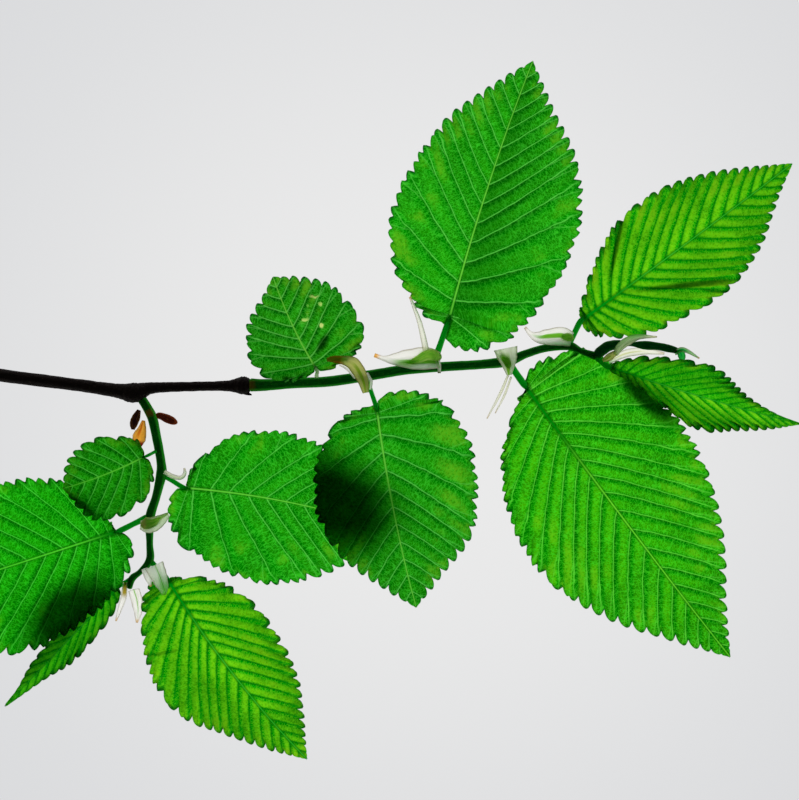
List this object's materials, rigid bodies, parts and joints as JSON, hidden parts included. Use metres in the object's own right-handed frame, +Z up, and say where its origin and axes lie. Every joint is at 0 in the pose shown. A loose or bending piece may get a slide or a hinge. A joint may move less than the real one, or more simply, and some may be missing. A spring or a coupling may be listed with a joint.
{
  "type": "leafy elm twig",
  "caption": "Cut elm twig lying flat: barked stem, green shoot and side shoot with lopsided, double-toothed leaves and papery stipules.",
  "frame": {"origin": "on the surface that the twig lies on, under the middle of its outline", "axes": "+X along the twig from its cut end to its growing tip, +Z up from the surface"},
  "size_m": [0.2048, 0.155, 0.0121],
  "materials": {
    "bark": "rough dark bark",
    "green_shoot": "smooth green bark",
    "mature_leaf": "matt leaf",
    "young_leaf": "matt pleated leaf",
    "stipule": "papery",
    "bud": "satin scales"
  },
  "bodies": {
    "root": {"older_twig": "bark", "main_shoot": "green_shoot", "end_shoot": "green_shoot", "side_shoot": "green_shoot", "side_bud": "bud", "main_leaf_1": "mature_leaf", "main_leaf_2": "mature_leaf", "main_leaf_3": "mature_leaf", "main_leaf_4": "mature_leaf", "main_leaf_5": "young_leaf", "main_leaf_6": "young_leaf", "side_leaf_1": "mature_leaf", "side_leaf_2": "mature_leaf", "side_leaf_3": "mature_leaf", "side_leaf_4": "young_leaf", "side_leaf_5": "young_leaf", "stipule_main_2": "stipule", "stipule_main_3": "stipule", "stipule_main_3_long": "stipule", "stipule_main_4": "stipule", "stipule_main_5": "stipule", "stipule_main_6": "stipule", "stipule_side_2": "stipule", "stipule_side_3": "stipule", "stipule_side_4": "stipule", "stipule_side_5_left": "stipule", "stipule_side_5_right": "stipule", "bud_scale_dark": "bud", "bud_scale_amber": "bud"}
  },
  "joints": []
}
